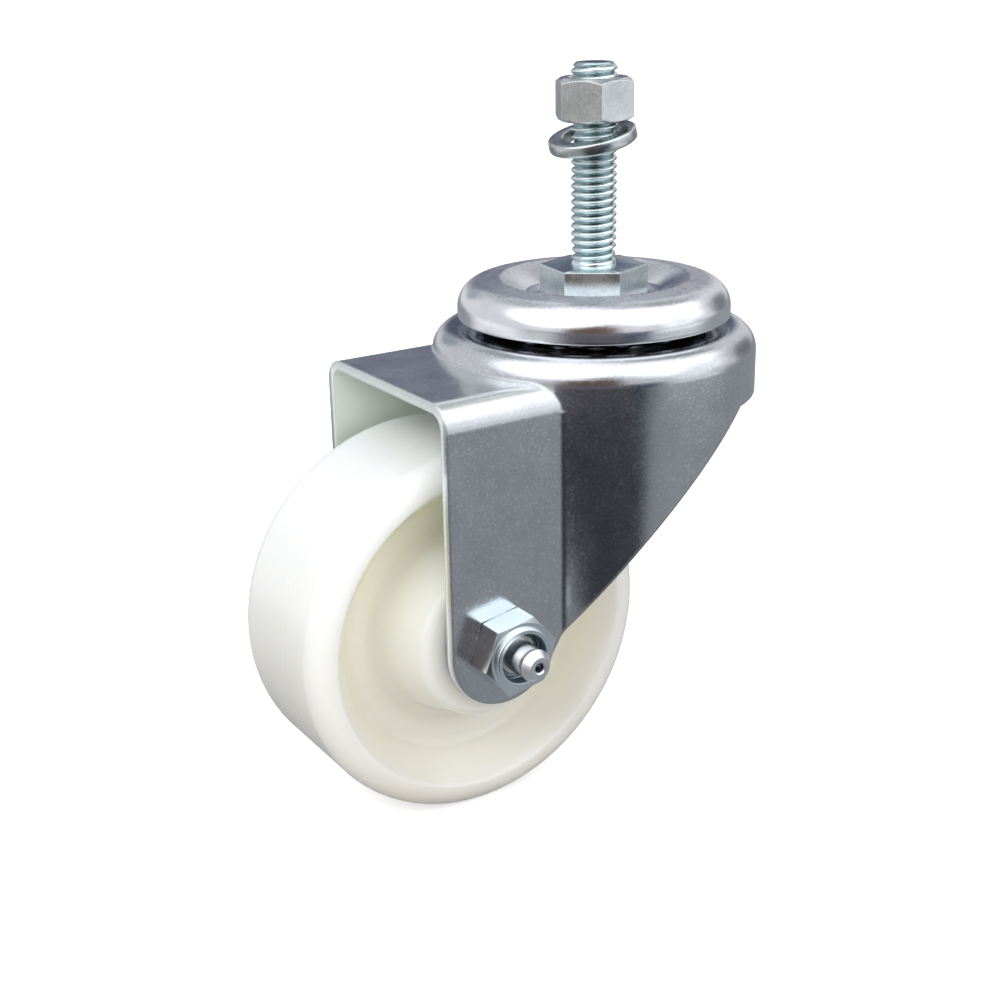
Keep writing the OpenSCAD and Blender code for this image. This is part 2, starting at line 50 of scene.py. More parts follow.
# Sizes in millimetres and angles in degrees, the same as the solids'
STEM_R, STEM_L, NECK_R, NECK_L, TIP = 4.65, 39.7, 4.47, 3.3, 1.0
COLLAR_AF, COLLAR_H, COLLAR_TURN = 19.05, 5.7, 22.0
WASHER_R, WASHER_T, WASHER_SET, WASHER_MID = 8.85, 2.4, 0.6, 25.1715
WASHER_TILT, WASHER_RISE, WASHER_SHIFT, WASHER_SPLIT, WASHER_SPLIT_AT = 14.0, 2.0, 0.4, 5.0, 30.0
KINGPIN_R, RIVET_PIN_R, RIVET_R, RIVET_H, RIVET_EDGE = 6.5, 5.0, 8.2, 2.6, 2.4
SEAT_Z, RACE_T = -15.875, 1.8
CAP_R, CAP_T, CAP_LIP, CAP_CREST, CAP_CREST_R, CAP_FLOOR_R = 28.0, 2.0, 10.2, 2.4, 19.4, 13.6
AXLE = (-37.8, 0.0, -66.7)
WHEEL_R, TREAD_W, TREAD_ROUND, RIM_FACE = 38.1, 31.75, 4.2, 1.1
DISH_DEPTH, DISH_SLOPE, DISH_ROUND, FLOOR_FALL = 8.3, 5.8, 3.0, 1.4
HUB_L, HUB_BORE, HUB_WALL, HUB_SPREAD = 38.1, 10.65, 5.3, 3.8
SPRING_START, SPRING_END, SPRING_COIL_R, SPRING_WIRE_R, SPRING_TURNS = 24.5, 32.35, 1.06, 0.12, 6

# Detail that this model adds to the solids or shapes more finely, in the same units
PITCH = 1.5875
THREAD_DEPTH = 0.5 * PITCH
THREAD_FROM, THREAD_GROWS, NECK_GROWS, THREAD_FULLNESS = 0.5, 0.9, 0.8, 0.62
END_FLAT, END_DISH_R, END_DISH = 0.5, 1.6, 0.2
COLLAR_EDGE = 0.2
WASHER_W, WASHER_CORNER = 3.2, 0.5
CAP_FALL, CAP_ROUND, CAP_CREST_ROUND, CAP_INNER_ROUND = 1.1, 5.4, 1.2, 0.8
LIP_ROUND, LIP_INNER_ROUND = 0.4, 0.15
RIM_ROUND, HUB_ROUND = 1.0, 2.2
MOULD_LINE_Y, MOULD_LINE_W, MOULD_LINE_SLOPE, MOULD_LINE_DEPTH = 3.6, 0.12, 0.1, 0.04
# The riveted end: steps in from its rim, each with its share of the height
RIVET_END = ((0, 0), (0.05, 0.35), (RIVET_EDGE / 4, 0.6), (RIVET_EDGE, 1))
# How far a rounded edge's middle stands in from both of its faces, as a share of its size
EDGE_MIDDLE = 0.3
CENTRE_R = 0.01  # of the tiny hole in the middle of the stem's faces
FLOOR_Z = AXLE[2] - WHEEL_R

# How finely the surfaces are divided
FULL_ARC_R = 3.0  # arcs of this radius or more get all their steps
ARC_STEPS, WHEEL_ARC_STEPS, LEAST_ARC_STEPS = 20, 24, 4
NECK_LEVELS, THREAD_FIRST_LEVEL, THREAD_LAST_GAP = (0.0, 0.4), 0.7, 0.12
RIVET_STEPS, COLLAR_STEPS, THREAD_STEPS, THREAD_LEVELS_A_TURN = 96, 180, 72, 16
WASHER_STEPS, WASHER_CORNER_STEPS, CAP_STEPS, WHEEL_STEPS = 110, 4, 240, 224
SPRING_STEPS_A_TURN, SPRING_WIRE_STEPS = 24, 8


# Shapes
def unit(v):
    """The direction of a flat vector."""
    length = math.hypot(*v)
    return Vector((v[0] / length, v[1] / length))


def leftward(v):
    """A flat vector turned a quarter to its left."""
    return Vector((-v[1], v[0]))


def way(path, offset=0.0, steps=ARC_STEPS):
    """Points of a rounded line through (x, y, radius) corners, set off to its left."""
    points = [Vector(corner[:2]) for corner in path]
    out = [points[0] + leftward(unit(points[1] - points[0])) * offset]
    for i in range(1, len(points) - 1):
        corner, r = points[i], path[i][2]
        if r == 0:
            out.append(corner)
            continue
        along, onward = unit(corner - points[i - 1]), unit(points[i + 1] - corner)
        turn = 1 if along.x * onward.y - along.y * onward.x > 0 else -1
        half = math.acos(max(-1, min(1, along.dot(onward)))) / 2
        left = leftward(along)
        centre = corner - along * r * math.tan(half) + left * turn * r
        start = math.atan2(-turn * left.y, -turn * left.x)
        arc_steps = max(LEAST_ARC_STEPS, int(steps * min(1, r / FULL_ARC_R)))
        for j in range(arc_steps + 1):
            a = start + turn * 2 * half * j / arc_steps
            out.append(centre + Vector((math.cos(a), math.sin(a))) * (r - turn * offset))
    out.append(points[-1] + leftward(unit(points[-1] - points[-2])) * offset)
    return [tuple(p) for p in out]


def thin_out(points, gap=1e-4):
    """Leaves out the points that lie on the one before."""
    kept = [points[0]]
    for p in points[1:]:
        if math.dist(p, kept[-1]) > gap:
            kept.append(p)
    return kept


def supported(points, gap=0.25):
    """Adds a point near each end of the long straight stretches, so that they shade flat."""
    out = [points[0]]
    for a, b in zip(points, points[1:]):
        length = math.dist(a, b)
        if length > 4 * gap:
            for share in (gap / length, 1 - gap / length):
                out.append((a[0] + (b[0] - a[0]) * share, a[1] + (b[1] - a[1]) * share))
        out.append(b)
    return out


def turned(r, angle, z):
    """The point at radius r and this angle about +Z."""
    return (r * math.cos(angle), r * math.sin(angle), z)


def circle(r, z, steps):
    return [turned(r, 2 * math.pi * i / steps, z) for i in range(steps)]


def add_points(bm, points):
    return [bm.verts.new((x * MM, y * MM, z * MM)) for x, y, z in points]


def lathe_into(bm, profile, steps, closed=False):
    """Adds a surface of revolution about +Z of (r, z) points to bm. Points at r = 0 are poles."""
    rings = [add_points(bm, circle(r, z, steps) if r else [(0, 0, z)]) for r, z in profile]
    pairs = list(zip(rings, rings[1:]))
    if closed:
        pairs.append((rings[-1], rings[0]))
    for a, b in pairs:
        for i in range(steps):
            j = (i + 1) % steps
            if len(a) == 1:
                bm.faces.new((a[0], b[j], b[i]))
            elif len(b) == 1:
                bm.faces.new((a[i], a[j], b[0]))
            else:
                bm.faces.new((a[i], a[j], b[j], b[i]))


def grid_into(bm, rows):
    """Adds a surface through rows of points, each row closed on itself."""
    made = [add_points(bm, row) for row in rows]
    steps = len(made[0])
    for a, b in zip(made, made[1:]):
        for i in range(steps):
            j = (i + 1) % steps
            bm.faces.new((a[i], a[j], b[j], b[i]))
    return made


def bar_into(bm, rows):
    """Adds a bar: a surface through rows of points with a face over its first and last row."""
    made = grid_into(bm, rows)
    bm.faces.new(made[0])
    bm.faces.new(made[-1])


def finish_mesh(bm, name, material, sharp_angle, place=None):
    """Makes an object of bm, smooth apart from the edges that bend by the sharp angle or more."""
    bmesh.ops.recalc_face_normals(bm, faces=bm.faces)
    for face in bm.faces:
        face.smooth = True
    limit = math.radians(sharp_angle)
    for edge in bm.edges:
        edge.smooth = len(edge.link_faces) == 2 and edge.calc_face_angle(0.0) < limit
    mesh = bpy.data.meshes.new(name)
    if place is not None:
        bm.transform(place)
    bm.to_mesh(mesh)
    bm.free()
    obj = bpy.data.objects.new(name, mesh)
    bpy.context.scene.collection.objects.link(obj)
    obj.data.materials.append(material)
    return obj


def spin(angle, axis):
    return Matrix.Rotation(math.radians(angle), 4, axis)


def toward(azimuth, elevation=0.0):
    """The direction that points this way, both angles in degrees."""
    a, e = math.radians(azimuth), math.radians(elevation)
    return (math.cos(e) * math.cos(a), math.cos(e) * math.sin(a), math.sin(e))


ON_AXLE = Matrix.Translation(Vector(AXLE) * MM) @ spin(90, "X")


# Shader nodes
BEVEL_SAMPLES = 4


def new_tree(owner, output_kind):
    """Empties the owner's node tree and gives it an output."""
    owner.use_nodes = True
    tree = owner.node_tree
    tree.nodes.clear()
    return tree, tree.nodes.new(output_kind)


def new_material(name):
    material = bpy.data.materials.new(name)
    tree, out = new_tree(material, "ShaderNodeOutputMaterial")
    bsdf = tree.nodes.new("ShaderNodeBsdfPrincipled")
    tree.links.new(bsdf.outputs["BSDF"], out.inputs["Surface"])
    return material, tree, bsdf


def feed(tree, socket, value):
    """Links a socket to another node's output, or sets it to a plain value."""
    if isinstance(value, bpy.types.NodeSocket):
        tree.links.new(value, socket)
    else:
        socket.default_value = value


def coords(tree, kind="Object"):
    return tree.nodes.new("ShaderNodeTexCoord").outputs[kind]


def split(tree, vector):
    """The x, y and z of a vector."""
    node = tree.nodes.new("ShaderNodeSeparateXYZ")
    tree.links.new(vector, node.inputs[0])
    return tuple(node.outputs)


def calc(tree, operation, *values):
    node = tree.nodes.new("ShaderNodeMath")
    node.operation = operation
    for socket, value in zip(node.inputs, values):
        feed(tree, socket, value)
    return node.outputs[0]


def vector_calc(tree, operation, *values):
    node = tree.nodes.new("ShaderNodeVectorMath")
    node.operation = operation
    for socket, value in zip(node.inputs, values):
        feed(tree, socket, value)
    return node.outputs["Value" if operation in ("LENGTH", "DOT_PRODUCT") else "Vector"]


def noise(tree, at, scale, detail=2, rough=0.5):
    node = tree.nodes.new("ShaderNodeTexNoise")
    node.inputs["Scale"].default_value = scale
    node.inputs["Detail"].default_value = detail
    node.inputs["Roughness"].default_value = rough
    tree.links.new(at, node.inputs["Vector"])
    return node.outputs["Fac"]


def remap(tree, value, a, b, low, high, ease="LINEAR"):
    """Turns the range from a to b into the range from low to high, and holds it there."""
    node = tree.nodes.new("ShaderNodeMapRange")
    node.interpolation_type = ease
    node.inputs["From Min"].default_value = a
    node.inputs["From Max"].default_value = b
    node.inputs["To Min"].default_value = low
    node.inputs["To Max"].default_value = high
    tree.links.new(value, node.inputs["Value"])
    return node.outputs["Result"]


def spread(tree, share, low, high):
    """low where a share is 0 and high where it is 1."""
    return remap(tree, share, 0, 1, low, high)


def pattern(tree, at, scale, detail, rough, low, high, top=1):
    """Noise that is 0 up to low, rises evenly and is top from high on."""
    return remap(tree, noise(tree, at, scale, detail, rough), low, high, 0, top)


def between(tree, value, none, full):
    """0 where a place in the model is at none and 1 where it is at full, in millimetres."""
    return remap(tree, value, none * MM, full * MM, 0, 1)


def blend(tree, fac, a, b):
    """Mixes two colours, each a tuple or another node's output."""
    node = tree.nodes.new("ShaderNodeMix")
    node.data_type = "RGBA"
    first, second = [socket for socket in node.inputs if socket.type == "RGBA"]
    for socket, value in ((first, a), (second, b)):
        feed(tree, socket, (*value, 1.0) if isinstance(value, tuple) else value)
    tree.links.new(fac, node.inputs[0])
    return [socket for socket in node.outputs if socket.type == "RGBA"][0]


def scaled(colour, share):
    return tuple(c * share for c in colour)


def bump(tree, height, strength, depth, normal=None):
    """Bends the normal by a pattern of this depth in millimetres."""
    node = tree.nodes.new("ShaderNodeBump")
    node.inputs["Strength"].default_value = strength
    node.inputs["Distance"].default_value = depth * MM
    tree.links.new(height, node.inputs["Height"])
    if normal is not None:
        tree.links.new(normal, node.inputs["Normal"])
    return node.outputs["Normal"]


def rounded(tree, radius):
    """The normal of edges that look rounded by this radius in millimetres."""
    node = tree.nodes.new("ShaderNodeBevel")
    node.samples = BEVEL_SAMPLES
    node.inputs["Radius"].default_value = radius * MM
    return node.outputs["Normal"]


def mix_shaders(tree, ray, others, these):
    """Shows these to the rays of one kind, such as Is Camera Ray, and others to the rest."""
    node = tree.nodes.new("ShaderNodeMixShader")
    tree.links.new(tree.nodes.new("ShaderNodeLightPath").outputs[ray], node.inputs[0])
    tree.links.new(others, node.inputs[1])
    tree.links.new(these, node.inputs[2])
    return node.outputs[0]


# Zinc plate: its sparks and tarnish, how rough and uneven it is, and in millimetres where the
# legs' inner faces and the thread's roots begin and are painted in full: the inner faces pale as
# the wheel's reflection, the roots dark as shade
SPARK_TONE, SPARK_FROM, SPARK_SHARE = (0.95, 0.97, 1.0), 0.6, 0.4
TARNISH_TONE = (0.30, 0.27, 0.28)
SMOOTHEST, ROUGHEST, SPECK_SMOOTH, SPECK_ROUGH = 0.85, 1.15, -0.03, 0.05
WAVE_DEPTH, GRAIN_DEPTH = 0.4, 0.03
LEG_INSIDE_FROM, LEG_INSIDE_FULL, LEG_INSIDE_METAL = (-20.0, 22.2, -16.0), (-26.0, 21.6, -19.0), 0.2
ROOT_R, ROOTS_FROM, ROOTS_FULL = STEM_R - 0.62, 0.4, 1.2

# Nylon, with painted light and shade: tones from the bottom up, the tread darker and warmer low
# down and the dished sides brighter high up and warm as if lit through, the hub's darker tone,
# heights from the axle where they start and end, and radii where the dished sides and the hub take
# over
TREAD_SHADED_TONES, TREAD_HEIGHTS = ((0.700, 0.675, 0.635), (0.890, 0.892, 0.885)), (-36, 16)
DISH_LIT_TONES, DISH_HEIGHTS = ((0.780, 0.760, 0.690), (0.950, 0.920, 0.770)), (-30, 26)
TREAD_CLOUD, DISH_CLOUD = (0.900, 0.890, 0.870), (0.860, 0.850, 0.800)
HUB_SHADE_TONE = (0.800, 0.795, 0.745)
DISH_RADII, HUB_RADII = (32.6, 29), (22, 16)

# Steel and plastic: shares of the tone and of the roughness that smears and blots have
SMEAR_TONE, SMEAR_ROUGH, PLASTIC_BLOT_TONE, PLASTIC_BLOT_ROUGH = 0.55, 0.6, 0.8, 1.2


def inside_legs(tree, at):
    """1 on the inner faces of the legs, 0 elsewhere."""
    x, y, z = split(tree, at)
    sides = (x, calc(tree, "ABSOLUTE", y), z)
    along, across, down = [between(tree, side, none, full) for side, none, full
                           in zip(sides, LEG_INSIDE_FROM, LEG_INSIDE_FULL)]
    return calc(tree, "MULTIPLY", calc(tree, "MULTIPLY", across, along), down)


def in_roots(tree, at):
    """1 in the thread's roots, 0 on its crests and below it."""
    radius = vector_calc(tree, "LENGTH", vector_calc(tree, "MULTIPLY", at, (1, 1, 0)))
    height = split(tree, at)[2]
    return calc(tree, "MULTIPLY", between(tree, radius, STEM_R, ROOT_R),
                between(tree, height, ROOTS_FROM, ROOTS_FULL))


def zinc(name, light, dark, rough, wave=0.05, grain=0.10, edge=0.25, grain_scale=2600,
         inner=None, roots=None, haze_and_shade=None):
    """Bright zinc plate: soft blotches of tone, fine plated grain and rounded edges.

    inner, if given, is painted on the legs' inner faces as a pale reflection of the white wheel,
    and roots is painted shade in the thread's roots.
    haze gives the heights between which the plate goes rough and tarnished and is painted darker as
    shade, and how rough, how much darker and how tarnished it gets there.
    """
    material, tree, bsdf = new_material(name)
    at = coords(tree)
    blot = pattern(tree, at, scale=120, detail=3, rough=0.55, low=0.35, high=0.65)
    speck = pattern(tree, at, scale=grain_scale, detail=2, rough=0.6, low=0.3, high=0.7)
    tone = blend(tree, blot, dark, light)
    tone = blend(tree, remap(tree, speck, SPARK_FROM, 1, 0, SPARK_SHARE), tone, SPARK_TONE)
    bsdf.inputs["Metallic"].default_value = 1.0
    if inner is not None:
        # painted reflection: the legs' inner faces get a pale, less metallic tone for the white
        # wheel's light
        inside = inside_legs(tree, at)
        tone = blend(tree, inside, tone, inner)
        tree.links.new(spread(tree, inside, 1.0, LEG_INSIDE_METAL), bsdf.inputs["Metallic"])
    if roots is not None:
        # painted shade: the thread's roots are darkened
        tone = blend(tree, in_roots(tree, at), tone, roots)
    rough_now = calc(tree, "ADD", spread(tree, blot, rough * SMOOTHEST, rough * ROUGHEST),
                     spread(tree, speck, SPECK_SMOOTH, SPECK_ROUGH))
    if haze_and_shade is not None:
        # painted shade: the band's tone is darkened, besides being rougher and tarnished
        dulled_and_shaded = between(tree, split(tree, at)[2], haze_and_shade["from_z"], haze_and_shade["to_z"])
        tarnish = pattern(tree, at, scale=1100, detail=4, rough=0.75, low=0.50, high=0.66,
                          top=haze_and_shade["tarnish"])
        painted_shade = blend(tree, blot, scaled(dark, haze_and_shade["tone"]), scaled(light, haze_and_shade["tone"]))
        tone = blend(tree, dulled_and_shaded, tone, blend(tree, tarnish, painted_shade, TARNISH_TONE))
        rough_now = calc(tree, "ADD", rough_now, spread(tree, dulled_and_shaded, 0, haze_and_shade["rough"]))
    tree.links.new(tone, bsdf.inputs["Base Color"])
    tree.links.new(rough_now, bsdf.inputs["Roughness"])
    normal = bump(tree, noise(tree, at, scale=260), wave, WAVE_DEPTH, rounded(tree, edge))
    tree.links.new(bump(tree, speck, grain, GRAIN_DEPTH, normal), bsdf.inputs["Normal"])
    return material


def dull_steel(name, tone, rough):
    """Steel that isn't plated, with darker and smoother smears of grease."""
    material, tree, bsdf = new_material(name)
    at = coords(tree)
    smear = pattern(tree, at, scale=300, detail=3, rough=0.6, low=0.4, high=0.65)
    smeared = blend(tree, smear, tone, scaled(tone, SMEAR_TONE))
    tree.links.new(smeared, bsdf.inputs["Base Color"])
    bsdf.inputs["Metallic"].default_value = 1.0
    tree.links.new(spread(tree, smear, rough, rough * SMEAR_ROUGH), bsdf.inputs["Roughness"])
    normal = bump(tree, noise(tree, at, scale=1500), strength=0.08, depth=0.05)
    tree.links.new(normal, bsdf.inputs["Normal"])
    return material


def nylon(name):
    """Milky white nylon: a glossy skin over a cloudy body, with painted light and shade: darker and
    warmer low on the tread, brighter high in the dished sides, which are painted warmer as if lit
    through, and darker on the hub.
    """
    material, tree, bsdf = new_material(name)
    at = coords(tree)
    from_axle = vector_calc(tree, "SUBTRACT", at, scaled(AXLE, MM))
    radius = vector_calc(tree, "LENGTH", vector_calc(tree, "MULTIPLY", from_axle, (1, 0, 1)))
    height = split(tree, from_axle)[2]
    cloud = pattern(tree, at, scale=45, detail=3, rough=0.5, low=0.3, high=0.7, top=0.25)
    # painted light and shade: darker low on the tread, brighter high in the dish, darker on the hub
    tread = blend(tree, between(tree, height, *TREAD_HEIGHTS), *TREAD_SHADED_TONES)
    tread = blend(tree, cloud, tread, TREAD_CLOUD)
    dish = blend(tree, between(tree, height, *DISH_HEIGHTS), *DISH_LIT_TONES)
    dish = blend(tree, cloud, dish, DISH_CLOUD)
    dish = blend(tree, between(tree, radius, *HUB_RADII), dish, HUB_SHADE_TONE)
    tone = blend(tree, between(tree, radius, *DISH_RADII), tread, dish)
    tree.links.new(tone, bsdf.inputs["Base Color"])
    bsdf.inputs["Roughness"].default_value = 0.22
    bsdf.inputs["IOR"].default_value = 1.53
    bsdf.inputs["Subsurface Weight"].default_value = 0.8
    bsdf.inputs["Subsurface Radius"].default_value = (1.0, 0.9, 0.7)
    bsdf.inputs["Subsurface Scale"].default_value = 8.0 * MM
    normal = bump(tree, noise(tree, at, scale=160), strength=0.04, depth=0.3)
    normal = bump(tree, noise(tree, at, scale=2200), strength=0.02, depth=0.03, normal=normal)
    tree.links.new(normal, bsdf.inputs["Normal"])
    return material


def soft_plastic(name, tone, rough):
    """Plain dull plastic, a little uneven in tone."""
    material, tree, bsdf = new_material(name)
    blot = pattern(tree, coords(tree), scale=900, detail=2, rough=0.5, low=0.35, high=0.65)
    blotted = blend(tree, blot, tone, scaled(tone, PLASTIC_BLOT_TONE))
    tree.links.new(blotted, bsdf.inputs["Base Color"])
    blot_rough = spread(tree, blot, rough, rough * PLASTIC_BLOT_ROUGH)
    tree.links.new(blot_rough, bsdf.inputs["Roughness"])
    return material


# Below the thread the stem's collar and kingpin are painted darker as shade; the cap's crest only a
# little
STEM_HAZE_AND_SHADE = {"from_z": 0.1, "to_z": -0.4, "rough": 0.10, "tone": 0.75, "tarnish": 0.3}
CAP_HAZE_AND_SHADE = {"from_z": -4.6, "to_z": -2.6, "rough": 0.18, "tone": 0.95, "tarnish": 0.7}
STEM_ZINC = zinc("stem_zinc", light=(0.85, 0.93, 0.95), dark=(0.70, 0.78, 0.80), rough=0.18,
                 roots=(0.42, 0.52, 0.54), haze_and_shade=STEM_HAZE_AND_SHADE)
NUT_ZINC = zinc("nut_zinc", light=(0.78, 0.80, 0.81), dark=(0.60, 0.62, 0.63), rough=0.22)
AXLE_NUT_ZINC = zinc("axle_nut_zinc", light=(0.86, 0.93, 0.97), dark=(0.76, 0.83, 0.87),
                     rough=0.19)
WASHER_ZINC = zinc("washer_zinc", light=(0.62, 0.65, 0.66), dark=(0.48, 0.51, 0.52), rough=0.22)
SHEET_ZINC = zinc("sheet_zinc", light=(0.67, 0.68, 0.71), dark=(0.61, 0.62, 0.65), rough=0.19,
                  grain=0.13, edge=0.8, grain_scale=1900, inner=(0.84, 0.90, 0.85))
CAP_ZINC = zinc("cap_zinc", light=(0.88, 0.88, 0.91), dark=(0.78, 0.78, 0.82), rough=0.17,
                wave=0.07, grain=0.20, haze_and_shade=CAP_HAZE_AND_SHADE)
FITTING_ZINC = zinc("fitting_zinc", light=(0.88, 0.89, 0.90), dark=(0.70, 0.72, 0.73), rough=0.33,
                    grain=0.25, edge=0.12)
BALL_STEEL = dull_steel("greased_ball_steel", (0.50, 0.52, 0.58), rough=0.15)
RACE_STEEL = dull_steel("race_steel", (0.42, 0.43, 0.46), rough=0.3)
# The check ball is painted near black, the shade deep inside the fitting's inlet
SHADED_BALL_STEEL = dull_steel("shaded_ball_steel", (0.07, 0.10, 0.15), rough=0.25)
GROUND_STEEL = dull_steel("ground_steel", (0.55, 0.56, 0.58), rough=0.25)
NYLON = nylon("white_nylon")
# The nut's insert: dark teal, partly its own colour and partly painted shade of the nut's recess
INSERT_PLASTIC = soft_plastic("insert_nylon", (0.05, 0.09, 0.12), rough=0.40)


# Threaded stem
def kingpin_into(bm):
    """Adds the pin below the collar, with its end riveted under the lower race."""
    race_z = SEAT_Z - RACE_T
    rivet = [(RIVET_R - inset, race_z - RIVET_H * share) for inset, share in RIVET_END]
    lathe_into(bm, [(0, -COLLAR_H), (KINGPIN_R, -COLLAR_H), (KINGPIN_R, SEAT_Z),
                    (RIVET_PIN_R, SEAT_Z), (RIVET_PIN_R, race_z), *rivet,
                    (0, race_z - RIVET_H)], RIVET_STEPS)


def collar_into(bm):
    """Adds the hex collar, its upper edge hardly broken."""
    angles = [2 * math.pi * i / COLLAR_STEPS + math.radians(COLLAR_TURN)
              for i in range(COLLAR_STEPS)]

    def hex_row(inset, z):
        row = []
        for a in angles:
            from_flat = (math.degrees(a) - COLLAR_TURN) % 60.0 - 30.0
            r = COLLAR_AF / 2 / math.cos(math.radians(from_flat))
            row.append(turned(r - inset, a, z))
        return row

    def round_row(r, z):
        return [turned(r, a, z) for a in angles]

    soft = EDGE_MIDDLE * COLLAR_EDGE
    grid_into(bm, [round_row(CENTRE_R, 0.0), round_row(NECK_R, 0.0), hex_row(COLLAR_EDGE, 0.0),
                   hex_row(soft, -soft), hex_row(0.0, -COLLAR_EDGE), hex_row(0.0, -COLLAR_H),
                   round_row(CENTRE_R, -COLLAR_H)])


def thread_depth(phase):
    """Share of the thread's depth at this phase of one pitch: a rolled thread, round all over."""
    height = abs((phase % 1.0) - 0.5) * 2  # 1 on the crest, 0 in the root
    return 1.0 - (0.5 - 0.5 * math.cos(math.pi * height)) ** THREAD_FULLNESS


def thread_into(bm):
    """Adds the neck, the thread that runs out into it, and the chamfered and dished tip."""
    levels = list(NECK_LEVELS)
    z = THREAD_FIRST_LEVEL
    while z < STEM_L - THREAD_LAST_GAP:
        levels.append(z)
        z += PITCH / THREAD_LEVELS_A_TURN
    rows = []
    for z in levels:
        grown = min(1.0, max(0.0, (z - THREAD_FROM) / THREAD_GROWS))
        past_neck = min(1.0, max(0.0, (z - NECK_L) / NECK_GROWS))
        crest = NECK_R + (STEM_R - NECK_R) * past_neck
        chamfered = STEM_R - max(0.0, z - (STEM_L - TIP))
        row = []
        for i in range(THREAD_STEPS):
            turn = i / THREAD_STEPS
            r = crest - THREAD_DEPTH * grown * thread_depth(z / PITCH - turn + 0.5)
            row.append(turned(min(r, chamfered), 2 * math.pi * turn, z))
        rows.append(row)
    for r, z in ((STEM_R - TIP, STEM_L), (STEM_R - TIP - END_FLAT, STEM_L),
                 (END_DISH_R, STEM_L - 0.9 * END_DISH), (CENTRE_R, STEM_L - END_DISH)):
        rows.append(circle(r, z, THREAD_STEPS))
    grid_into(bm, rows)


def make_stem():
    """The stem with its collar and kingpin, all one piece."""
    bm = bmesh.new()
    kingpin_into(bm)
    collar_into(bm)
    thread_into(bm)
    obj = finish_mesh(bm, "stem_detail", STEM_ZINC, sharp_angle=38)
    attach(obj, "stem")
    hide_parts("threaded_stem")


# Lock washer
def washer_section():
    """The section of the washer's ring, a rectangle with rounded corners, as (r, z) points."""
    half_w, half_t = WASHER_W / 2, WASHER_T / 2
    section = []
    for quarter in range(4):
        r = WASHER_R - half_w + (half_w - WASHER_CORNER) * (1 if quarter in (0, 3) else -1)
        z = (half_t - WASHER_CORNER) * (1 if quarter in (0, 1) else -1)
        for j in range(WASHER_CORNER_STEPS + 1):
            a = math.radians(90 * (quarter + j / WASHER_CORNER_STEPS))
            section.append((r + WASHER_CORNER * math.cos(a), z + WASHER_CORNER * math.sin(a)))
    return section


def make_washer():
    """A split ring whose ends stand apart in height, hanging tilted on the thread."""
    section = washer_section()
    rows = []
    for i in range(WASHER_STEPS + 1):
        share = i / WASHER_STEPS
        a = math.radians(WASHER_SPLIT + (360 - 2 * WASHER_SPLIT) * share)
        lift = WASHER_SET * (0.5 - share)
        rows.append([turned(r, a, z + lift) for r, z in section])
    place = (Matrix.Translation((0, 0, WASHER_MID * MM)) @ spin(WASHER_RISE, "Z")
             @ spin(-WASHER_TILT, "Y") @ Matrix.Translation((-WASHER_SHIFT * MM, 0, 0))
             @ spin(WASHER_SPLIT_AT, "Z"))
    bm = bmesh.new()
    bar_into(bm, rows)
    obj = finish_mesh(bm, "washer_detail", WASHER_ZINC, sharp_angle=50, place=place)
    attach(obj, "washer")
    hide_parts("lock_washer")


# Top cap
def make_cap():
    """The dished cap, its crest falling a little towards the rounded wall."""
    path = [(CAP_R, -CAP_LIP, 0), (CAP_R, -CAP_CREST - CAP_FALL, CAP_ROUND),
            (CAP_CREST_R, -CAP_CREST, CAP_CREST_ROUND), (CAP_FLOOR_R, -COLLAR_H, CAP_T),
            (KINGPIN_R, -COLLAR_H, 0)]
    top = way(path)
    least_round = CAP_T + CAP_INNER_ROUND
    under = way([(x, z, max(r, least_round) if r else 0) for x, z, r in path], CAP_T)
    # the lip's cut edge is a little rounded, more on the outside
    (outer, lip_z), (inner, _) = top[0], under[0]
    soft = EDGE_MIDDLE * LIP_ROUND
    lip = [(inner, lip_z + LIP_INNER_ROUND), (inner + LIP_INNER_ROUND, lip_z),
           (outer - LIP_ROUND, lip_z), (outer - soft, lip_z + soft), (outer, lip_z + LIP_ROUND)]
    bm = bmesh.new()
    lathe_into(bm, supported(thin_out(lip + top[1:] + under[:0:-1])), CAP_STEPS, closed=True)
    obj = finish_mesh(bm, "cap_detail", CAP_ZINC, sharp_angle=40)
    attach(obj, "stem")
    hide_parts("top_cap")


# Wheel
def make_wheel():
    """The tread, rims, dished sides and hub, with a faint mould line round the tread."""
    side, hub_side = TREAD_W / 2, HUB_L / 2
    dish_side = side - DISH_DEPTH
    crest_r = WHEEL_R - TREAD_ROUND - RIM_FACE
    hub_r = HUB_BORE + HUB_WALL
    half = way([(WHEEL_R, 0, 0), (WHEEL_R, side, TREAD_ROUND), (crest_r, side, RIM_ROUND),
                (crest_r - DISH_SLOPE, dish_side, DISH_ROUND),
                (hub_r + HUB_SPREAD, dish_side - FLOOR_FALL, DISH_ROUND),
                (hub_r, hub_side, HUB_ROUND), (HUB_BORE, hub_side, 0)], steps=WHEEL_ARC_STEPS)
    half_line, line_r = MOULD_LINE_W / 2, WHEEL_R - MOULD_LINE_DEPTH
    line_edge = half_line + MOULD_LINE_SLOPE
    seam = [(WHEEL_R, 0), (WHEEL_R, MOULD_LINE_Y - line_edge), (line_r, MOULD_LINE_Y - half_line),
            (line_r, MOULD_LINE_Y + half_line), (WHEEL_R, MOULD_LINE_Y + line_edge)]
    mirrored = [(r, -y) for r, y in half[:0:-1]]
    bm = bmesh.new()
    lathe_into(bm, supported(thin_out(mirrored + seam + half[1:])), WHEEL_STEPS, closed=True)
    obj = finish_mesh(bm, "wheel_detail", NYLON, sharp_angle=40, place=ON_AXLE)
    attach(obj, "wheel")
    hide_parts("wheel")


